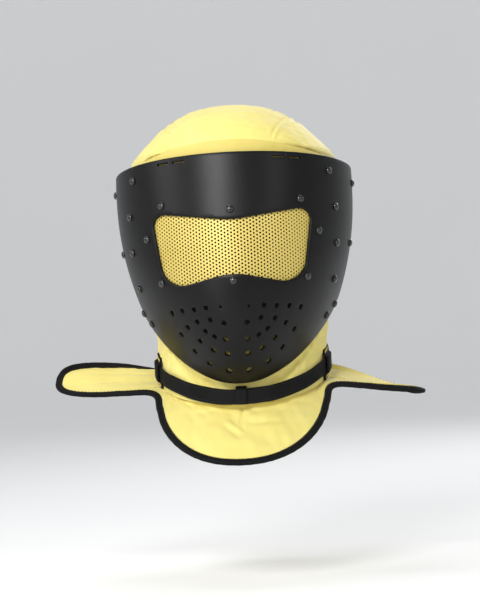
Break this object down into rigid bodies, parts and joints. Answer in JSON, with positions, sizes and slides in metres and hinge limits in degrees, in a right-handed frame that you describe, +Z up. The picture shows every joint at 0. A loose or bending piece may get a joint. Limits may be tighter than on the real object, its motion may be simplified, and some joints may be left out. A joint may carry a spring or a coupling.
{
  "type": "sparring headgear with face shield",
  "caption": "Padded sparring hood with a lobed shoulder cape, a riveted moulded face shield with a perforated visor grille, and a neck strap.",
  "frame": {"origin": "inside of the crown, where the top of the wearer's head meets the padding", "axes": "+Z up out of the crown, -Y forwards out of the face shield, +X to the wearer's left, level with the ears"},
  "size_m": [0.3863, 0.2867, 0.3653],
  "materials": {
    "yellow_cloth": "padded woven nylon",
    "black_shell": "pebbled satin",
    "yellow_steel": "perforated, satin",
    "black_rivet": "gloss",
    "black_tape": "woven tape"
  },
  "bodies": {
    "root": {"crown_pad": "yellow_cloth", "brow_band": "yellow_cloth", "hood_wall": "yellow_cloth", "shoulder_cape": "yellow_cloth", "face_shield": "black_shell", "visor_grille": "yellow_steel", "cape_binding": "black_tape", "neck_strap": "black_tape", "centre_strap_loop": "black_tape", "right_strap_loop": "black_tape", "left_strap_loop": "black_tape", "visor_rivet_1_mid": "black_rivet", "visor_rivet_2_right": "black_rivet", "visor_rivet_2_left": "black_rivet", "visor_rivet_3_right": "black_rivet", "visor_rivet_3_left": "black_rivet", "visor_rivet_4_right": "black_rivet", "visor_rivet_4_left": "black_rivet", "visor_rivet_5_mid": "black_rivet", "side_rivet_1_right": "black_rivet", "side_rivet_1_left": "black_rivet", "side_rivet_2_right": "black_rivet", "side_rivet_2_left": "black_rivet", "side_rivet_3_right": "black_rivet", "side_rivet_3_left": "black_rivet", "side_rivet_4_right": "black_rivet", "side_rivet_4_left": "black_rivet", "side_rivet_5_right": "black_rivet", "side_rivet_5_left": "black_rivet", "side_rivet_6_right": "black_rivet", "side_rivet_6_left": "black_rivet", "side_rivet_7_right": "black_rivet", "side_rivet_7_left": "black_rivet", "side_rivet_8_right": "black_rivet", "side_rivet_8_left": "black_rivet"}
  },
  "joints": []
}
